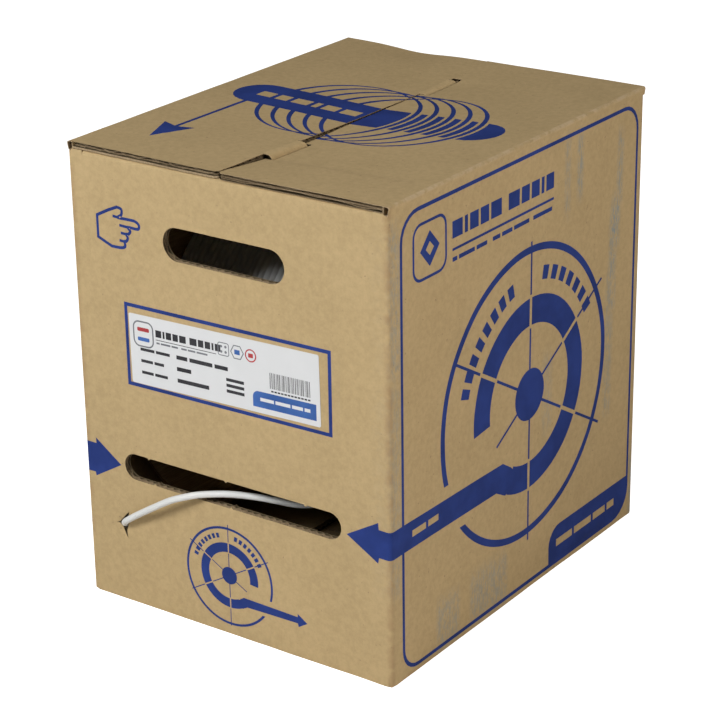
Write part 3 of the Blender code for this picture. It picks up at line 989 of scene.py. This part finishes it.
def front_fray(side, x):
    """Small waves of a long flap's front edge: the left one is worn, the right one is straight."""
    worn = 1.0 if side < 0 else 0.3
    return worn * (0.55 * noise.noise((x * 0.09, 1.0, side)) + 0.3 * noise.noise((x * 0.3, 5.0, side)))


def worn_edge(x):
    """Section of the left flap's front edge: torn above, its lower liner smooth and bright."""
    torn = 1.5 + 1.3 * noise.noise((x * 0.06, 3.0, 1.0)) + 0.6 * noise.noise((x * 0.4, 1.0, 2.0))
    lip = 0.35 * noise.noise((x * 0.03, 8.0, 1.0))
    return [(0, -0.3), (0.5, -0.5), (0.9, -1.4 - torn), (3.9, -1.0 - torn),
            (4.2, 0.15 + lip), (BOARD, 0.1 + lip)]


def make_long_flap(side, word, skins):
    root = side * (HALF_W - FLAP_ROOT)
    seam = seam_edge(side)
    front = [(x, -HALF_D + 0.2 + abs(front_fray(side, x))) for x in np.linspace(root, seam[0][0], 50)]
    rear = [(x, HALF_D - 0.2 - abs(0.4 * front_fray(side, x + 500)))
            for x in np.linspace(seam[-1][0], root, 50)]
    outline = front[:-1] + seam[1:-1] + rear + [(root, y) for y in np.linspace(HALF_D - 8, 8 - HALF_D, 42)]
    if side > 0:
        outline = outline[::-1]
    lines = [[(x, y) for x in np.linspace(side * 8, root, 14)] for y in (-122, -120, -118)]

    def edge(x, y):
        if abs(x - root) < 0.01 and abs(y) < HALF_D - 1:
            return FLAT
        if side < 0 and y < -HALF_D + 3:
            return worn_edge(x)
        return RAW

    body = Body()
    place = flap_place(side)
    board(body, [outline], place, top_prints(side), 7.0, lines, (), edge)
    fluting(body, outline, place, lambda x, y: y, wander=0.6,
            only=lambda x, y: abs(x - root) > 0.3 and (side > 0 or y > 3 - HALF_D))
    if side < 0:
        fluting(body, outline, place, lambda x, y: 0.35 * x, near=0.9, wander=1.5,
                only=lambda x, y: abs(x - root) > 0.3 and y <= 3 - HALF_D)
    body.make(f"flap_{word}_board", skins, f"flap_{word}", [f"top_flap_{word}"])


def make_short_flap(side, word, skins):
    """side is -1 for the front flap and 1 for the rear one."""
    root, tip = side * (HALF_D - SHORT_ROOT), side * (abs(SHORT_LOW.y) - (SHORT_HIGH.y - SHORT_LOW.y))
    wide, chamfer = SHORT_HIGH.x, 8.0
    outline = [(x, root) for x in np.linspace(-wide, wide, 40)]
    outline += [(x, tip) for x in np.linspace(wide - chamfer, chamfer - wide, 40)]
    if side > 0:
        outline = outline[::-1]

    def edge(x, y):
        return FLAT if abs(y - root) < 0.01 else RAW

    body = Body()
    board(body, [outline], short_place, (), 8.0, (), (), edge)
    fluting(body, outline, short_place, lambda x, y: x, only=lambda x, y: abs(y - root) > 0.3, step=1.1)
    body.make(f"flap_{word}_board", skins, f"flap_{word}", [f"top_flap_{word}"])


def sweep(body, section, spots, place):
    """Hollow fold of board: a closed section of liner thickness swept over the spots."""
    loop = np.asarray(section, float)
    if area(section) < 0:
        loop = loop[::-1]
    hollow = loop - edge_normals(loop) * LINER
    outer = [[place(a, b, t) for a, b in loop] for t in spots]
    inner = [[place(a, b, t) for a, b in hollow] for t in spots]
    body.rows(outer, SKIN, closed=True)
    body.rows([row[::-1] for row in inner], EDGE, closed=True)
    for t in (0, -1):
        body.rows([outer[t], inner[t]], EDGE, closed=True)


def make_long_crease(side, word, skins):
    low = WALL_TOP - 0.25
    section = [(HALF_W - BOARD, low), (HALF_W, low)]
    section += [polar((HALF_W - TOP_ROUND, HEIGHT - TOP_ROUND), TOP_ROUND, 90 * k / 7) for k in range(8)]
    section += [(HALF_W - FLAP_ROOT, HEIGHT), (HALF_W - FLAP_ROOT, HEIGHT - FLAP_THICK)]

    def place(a, b, y):
        up = smoothstep(b, low, HEIGHT - 1)
        bulge = smoothstep(b, low + 1, HEIGHT - 2.5) * smoothstep(a, HALF_W - 4, HALF_W - 0.5)
        bulge *= 0.9 + 0.4 * noise.noise((y * 0.03, side, 2.0))
        return (side * (a + bulge), y, b - drop(side, side * a, y) * up)

    body = Body()
    sweep(body, section, np.linspace(-HALF_D + 0.2, HALF_D - 0.2, 60), place)
    piece = body.make(f"crease_{word}", skins)
    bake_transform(piece)


def make_short_crease(side, word, skins):
    low, r = WALL_TOP - CREASE_DEPTH, 3.5
    root = HALF_D - SHORT_ROOT
    section = [(HALF_D - BOARD, low), (HALF_D, low)]
    section += [polar((HALF_D - r, SHORT_TOP - r), r, 90 * k / 7) for k in range(8)]
    section += [(HALF_D - 9, SHORT_TOP), (root, SHORT_TOP), (root, SHORT_TOP - BOARD),
                (HALF_D - 9, SHORT_TOP - BOARD), (HALF_D - BOARD, SHORT_TOP - BOARD)]

    def place(a, b, x):
        up = smoothstep(b, low, SHORT_TOP) * smoothstep(a, HALF_D, HALF_D - 8)
        return (x, side * a, b - short_sag(x, side * a) * up)

    body = Body()
    sweep(body, section, np.linspace(SHORT_LOW.x - 0.3, SHORT_HIGH.x + 0.3, 50), place)
    piece = body.make(f"crease_{word}", skins)
    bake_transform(piece)


def make_tab(span, word, skins, worn):
    """A tab of the left flap: the rounded fold at the seam and the tongue tucked down inside. The fold's
    outer skin takes the brighter kraft given as worn: stretched liner and a painted highlight where the fold
    faces the light.
    """
    y0, y1 = span
    centre_x = TAB_FACE - TAB_FOLD

    def surface(s, y, depth):
        """s runs over the fold from the flap's top and down the tongue."""
        top = HEIGHT - drop(-1, centre_x - TAB_REACH, y)
        bend = s - TAB_REACH
        if bend < 0:
            return (centre_x + bend, y, top - depth)
        turn = min(1.0, bend / arc_length) * math.pi / 2
        x = centre_x + (TAB_FOLD - depth) * math.sin(turn)
        z = top - TAB_FOLD + (TAB_FOLD - depth) * math.cos(turn)
        return (x, y, z - max(0.0, bend - arc_length))

    arc_length = TAB_FOLD * math.pi / 2
    turned = 2 * TAB_REACH + arc_length
    tongue_end = turned - TAB_REACH + HEIGHT - TAB_FOLD - box_mm(f"tuck_tab_{word}")[0].z
    for part, first, last, count in (("fold", 0.0, turned, 15), ("tongue", turned, tongue_end, 6)):
        steps = np.linspace(first, last, count)
        loop = [(s, y0) for s in steps] + [(last, y) for y in np.linspace(y0, y1, 16)[1:-1]]
        loop += [(s, y1) for s in steps[::-1]] + [(first, y) for y in np.linspace(y1, y0, 16)[1:-1]]
        lines = [[(s, y) for y in np.linspace(y0 + 0.6, y1 - 0.6, 16)] for s in steps[1:-1]]

        def edge(s, y):
            return RAW if (y < y0 + 0.01 or y > y1 - 0.01) or (part == "tongue" and s > last - 0.01) else FLAT

        body = Body()
        board(body, [loop], surface, (), 30.0, lines, (), edge)
        if part == "tongue":
            body.make(f"tab_{word}_tongue", skins, f"tab_{word}", [f"tuck_tab_{word}"])
        else:
            # brighter kraft on the fold's skin: worn, stretched liner and a painted highlight
            piece = body.make(f"tab_{word}_tongue_fold", [worn, *skins[1:]])
            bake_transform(piece)


def make_label(materials):
    """Thin paper label that follows the wall behind it."""
    corners = np.array([(-89.4, 184.4), (81.0, 188.7), (80.2, 242.5), (-90.2, 238.5)])
    along, up = corners[1] - corners[0], corners[3] - corners[0]
    width, height = np.linalg.norm(along), np.linalg.norm(up)

    def to_wall(a, b):
        return tuple(corners[0] + along * a / width + up * b / height)

    outline = resample([to_wall(*p) for p in box(0, 0, width, height, (1.5, 1.5, 1.5, 1.5))], 6)
    thick = LABEL_HIGH.y - LABEL_LOW.y

    def place(u, v, depth):
        return wall_place(u, v, depth - 0.32)

    def edge(u, v):
        return [(0, 0), (thick, 0)]

    body = Body()
    board(body, [outline], place, moved(label_prints(), to_wall), 9.0, (), (), edge, thick)
    body.make("paper_label", materials, "carton", ["label"])


# ---- inside ----


def flat_board(name, skins, node, across_axis, hole=None):
    """A loose board that fills its CAD node's box, with raw edges; across_axis crosses its fluting."""
    low, high = box_mm(node)
    thin = min(range(3), key=lambda i: high[i] - low[i])
    a, b = [i for i in range(3) if i != thin]
    outline = resample([(low[a], low[b]), (high[a], low[b]), (high[a], high[b]), (low[a], high[b])], 9)
    loops = [outline]
    if hole:
        loops.append(circle(hole[0], hole[1], 48)[::-1])

    def place(p, q, depth):
        point = [0.0, 0.0, 0.0]
        bend = 0.12 * noise.noise((p * 0.02, q * 0.02, thin))
        point[a], point[b], point[thin] = p, q, high[thin] - depth * (high[thin] - low[thin]) / BOARD + bend
        return tuple(point)

    body = Body()
    board(body, loops, place, (), 12.0)
    for loop in loops:
        fluting(body, loop, place, lambda p, q: p if across_axis == a else q, step=1.2)
    body.make(name, skins, "carton", [node])


def tube_radius(node):
    low, high = box_mm(node)
    return (high.z - low.z) / 2


def make_flange(name, side, material):
    """Plywood disc with a bore, three bolt holes and softened edges."""
    low, high = box_mm(f"flange_{name}")
    face, back = (low.x, high.x) if side < 0 else (high.x, low.x)
    bolts = [polar((0, AXIS_Z), BOLT_CIRCLE, 90 + 120 * i) for i in range(3)]
    loops = [circle((0, AXIS_Z), (high.z - low.z) / 2, 180)]
    loops.append(circle((0, AXIS_Z), tube_radius(f"hub_bush_{name}") - BUSH_LIP, 64)[::-1])
    loops += [circle(centre, BOLT_HOLE, 20)[::-1] for centre in bolts]
    soft = 0.7

    def place(y, z, depth):
        return (face + (back - face) * depth / BOARD, y, z)

    rounded = [(0, -soft), (0.2, -0.2), (soft, 0), (BOARD - soft, 0), (BOARD - 0.2, -0.2), (BOARD, -soft)]
    body = Body()
    for loop in loops:
        rim(body, loop, place, lambda y, z: rounded, SKIN)
    shrunk = [[tuple(p) for p in np.asarray(loop) - edge_normals(loop) * soft] for loop in loops]
    flat, faces, _ = triangulate(shrunk, (), 14.0)
    body.add([place(y, z, 0) for y, z in flat], faces, SKIN)
    body.add([place(y, z, BOARD) for y, z in flat], [f[::-1] for f in faces], SKIN)
    body.make(f"reel_flange_{name}", [material], "reel", [f"flange_{name}"])


def make_bush(name, side, material):
    """Collared bush that turns on the axle, pressed into the flange's bore."""
    low, high = box_mm(f"hub_bush_{name}")
    collar, axle = (high.z - low.z) / 2, tube_radius("axle_tube")
    bore = collar - BUSH_LIP
    outer, inner = (low.x, high.x) if side < 0 else (high.x, low.x)
    step = 1 if inner > outer else -1
    profile = [(inner, axle + 0.4), (inner - step * 0.5, axle + 0.3), (outer + step * 0.5, axle + 0.3),
               (outer, axle + 0.8), (outer, collar - 0.8), (outer + step * 0.5, collar - 0.2),
               (outer + step * 2.0, collar), (outer + step * 2.5, collar - 0.4),
               (outer + step * 2.6, bore - 0.35), (inner - step * 0.6, bore - 0.35),
               (inner, bore - 0.9), (inner, axle + 0.4)]
    body = Body()
    body.rows(lathe(profile, 96), SKIN)
    body.make(f"axle_bush_{name}", [material], "reel", [f"hub_bush_{name}"])


def make_tube(name, node, body_name, wall, material):
    """Paperboard tube with softened ends."""
    low, high = box_mm(node)
    outer = (high.z - low.z) / 2
    bore = outer - wall
    profile = [(low.x, outer - 0.5), (low.x + 0.5, outer), (high.x - 0.5, outer), (high.x, outer - 0.5),
               (high.x, bore + 0.4), (high.x - 0.4, bore), (low.x + 0.4, bore), (low.x, bore + 0.4),
               (low.x, outer - 0.5)]
    body = Body()
    body.rows(lathe(profile, 128), SKIN)
    body.make(name, [material], body_name, [node])


def make_winding(material):
    """The wound cable: the outer layer's turns side by side, each one a step of the helix."""
    low, high = WINDING_LOW.x + 1.0, WINDING_HIGH.x - 1.0
    radius, core = (WINDING_HIGH.z - WINDING_LOW.z) / 2, 55.4
    pitch = 2 * CABLE_R + 0.06
    count = int((high - low) / pitch) - 1
    around, across = 150, 7
    body = Body()
    rows = []
    for i in range(around + 1):
        t = 2 * math.pi * i / around
        row = [(low, core * math.cos(t), AXIS_Z + core * math.sin(t))]
        for k in range(count * across + 1):
            turn = k / across
            x = low + pitch * (turn + i / around)
            lane = math.floor(turn + 1e-6)
            wobble = 0.35 * noise.noise((lane * 3.1 + i / around * 2.0, math.cos(t) * 1.5, math.sin(t) * 1.5))
            hump = math.sin(math.pi * (turn - math.floor(turn)))
            r = radius - CABLE_R * 0.92 + CABLE_R * 0.92 * math.sqrt(max(0.0, hump)) + min(0.0, wobble)
            row.append((x, r * math.cos(t), AXIS_Z + r * math.sin(t)))
        row.append((high, (radius - 4) * math.cos(t), AXIS_Z + (radius - 4) * math.sin(t)))
        row.append((high, core * math.cos(t), AXIS_Z + core * math.sin(t)))
        rows.append(row)
    body.rows(rows, SKIN)
    body.make("wound_cable", [material], "reel", ["cable_winding"], sharp=70)


def dress_fasteners(material):
    """Bolts and nuts keep their CAD shape, with softened edges."""
    for name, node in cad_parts.items():
        if name.startswith("tie_"):
            bevel = node.modifiers.new("soft_edges", "BEVEL")
            bevel.width, bevel.segments, bevel.limit_method = 0.35 * MM, 2, "ANGLE"
            node.data.materials.clear()
            node.data.materials.append(material)


# ---- stage ----


def make_world():
    """White to the camera, and a faint warm fill to everything else."""
    bpy.context.scene.view_settings.view_transform = "Standard"
    world = bpy.data.worlds.new("studio")
    bpy.context.scene.world = world
    world.use_nodes = True
    nodes, links = world.node_tree.nodes, world.node_tree.links
    nodes.clear()
    out = nodes.new("ShaderNodeOutputWorld")
    seen, lighting = nodes.new("ShaderNodeBackground"), nodes.new("ShaderNodeBackground")
    for node, colour, strength in ((seen, (1, 1, 1, 1), 1.0), (lighting, (1, 0.97, 0.93, 1), 0.08)):
        node.inputs["Color"].default_value = colour
        node.inputs["Strength"].default_value = strength
    path, mix = nodes.new("ShaderNodeLightPath"), nodes.new("ShaderNodeMixShader")
    links.new(path.outputs["Is Camera Ray"], mix.inputs[0])
    links.new(lighting.outputs[0], mix.inputs[1])
    links.new(seen.outputs[0], mix.inputs[2])
    links.new(mix.outputs[0], out.inputs["Surface"])


def make_floor():
    """A pale floor that reflects light on the box and is plain white to the camera."""
    bpy.ops.mesh.primitive_circle_add(vertices=96, radius=7, fill_type="NGON", location=(0, 0, -0.0002))
    floor = bpy.context.object
    floor.name = "floor"
    material = bpy.data.materials.new("pale_floor")
    material.use_nodes = True
    tree = material.node_tree
    shader = tree.nodes["Principled BSDF"]
    shader.inputs["Base Color"].default_value = (0.8, 0.8, 0.79, 1)
    shader.inputs["Roughness"].default_value = 0.9
    glow, mix, path = (tree.nodes.new(kind) for kind in
                       ("ShaderNodeEmission", "ShaderNodeAddShader", "ShaderNodeLightPath"))
    tree.links.new(path.outputs["Is Camera Ray"], glow.inputs["Strength"])
    glow.inputs["Color"].default_value = (1.0, 1.0, 1.0, 1)
    tree.links.new(shader.outputs[0], mix.inputs[0])
    tree.links.new(glow.outputs[0], mix.inputs[1])
    tree.links.new(mix.outputs[0], tree.nodes["Material Output"].inputs["Surface"])
    floor.data.materials.append(material)


def add_light(name, position, target, size, power, colour):
    light = bpy.data.objects.new(name, bpy.data.lights.new(name, "AREA"))
    bpy.context.scene.collection.objects.link(light)
    light.data.shape, light.data.size, light.data.energy = "DISK", size, power
    light.data.color = colour
    light.location = position
    light.rotation_mode = "QUATERNION"
    light.rotation_quaternion = (Vector(target) - Vector(position)).to_track_quat("-Z", "Y")


# Soft lamps above the front left, low in front, by the right side and behind:
# place, what it points at, size, power, colour
LAMPS = {
    "key_lamp": ((-0.55, -1.75, 1.57), (0.0, -0.15, 0.2), 0.8, 35.8, (1.0, 1.0, 1.0)),
    "low_lamp": ((-1.75, -1.92, 0.70), (0.0, -0.15, 0.2), 1.0, 3.0, (1.0, 1.0, 1.0)),
    "right_lamp": ((1.15, -0.32, 0.62), (0.1, 0.0, 0.2), 0.6, 5.3, (1.0, 0.93, 0.87)),
    "back_lamp": ((1.0, 1.7, 1.3), (0.05, 0.0, 0.3), 1.2, 6.0, (1.0, 0.94, 0.86)),
}

# ---- build ----

make_camera()
cable_look = jacket()
make_cable(cable_look)
face, inner, cut = kraft("kraft_face", marks=True), kraft("kraft_inside", 0.9), edge_paper()
blue = ink("ink_blue", (0.023, 0.047, 0.215))
# very dark kraft: painted shade for the recesses between the liners of the raw edges
hollow = kraft("kraft_hollow_painted_shade", 0.16)
board_looks = [face, inner, cut, blue, hollow]
# 10 % brighter kraft for the tabs' folds: their worn, stretched liner, and a painted highlight of the light
# on their round
fold_face_wear_and_painted_light = kraft("kraft_fold_wear_and_painted_light", 1.10)
make_walls(board_looks)
across, along = ((-1, "left"), (1, "right")), ((-1, "front"), (1, "rear"))
for side, word in across:
    make_long_flap(side, word, board_looks)
for side, word in along:
    make_short_flap(side, word, board_looks)
for side, word in across:
    make_long_crease(side, word, board_looks)
for side, word in along:
    make_short_crease(side, word, board_looks)
for span, word in zip(TABS, ("front", "rear")):
    make_tab(span, word, board_looks, fold_face_wear_and_painted_light)
paper_look = paper()
make_label([paper_look, paper_look, paper_look, ink("label_blue", (0.055, 0.135, 0.40)),
            ink("label_black", (0.045, 0.045, 0.05)), ink("label_red", (0.42, 0.055, 0.06)),
            ink("label_grey", (0.19, 0.20, 0.22))])
inside_looks = [inner, inner, cut, blue, hollow]
for word, looks, crossing in (("front", board_looks, 0), ("rear", board_looks, 0),
                              ("left", inside_looks, 1), ("right", inside_looks, 1)):
    flat_board(f"base_{word}", looks, f"bottom_flap_{word}", crossing)
flat_board("lap_board", inside_looks, "glue_lap", 1)
for word in ("left", "right"):
    flat_board(f"axle_support_{word}", inside_looks, f"axle_board_{word}", 1,
               hole=((0, AXIS_Z), tube_radius("axle_tube") + 0.3))
wood, bush_look, tube_look = plywood(), plastic(), tube_board()
for side, word in across:
    make_flange(word, side, wood)
    make_bush(word, side, bush_look)
make_tube("reel_core", "reel_barrel", "reel", 4.0, tube_look)
make_tube("axle", "axle_tube", "carton", 3.5, tube_look)
make_winding(cable_look)
dress_fasteners(steel())
make_world()
make_floor()
for name, lamp in LAMPS.items():
    add_light(name, *lamp)
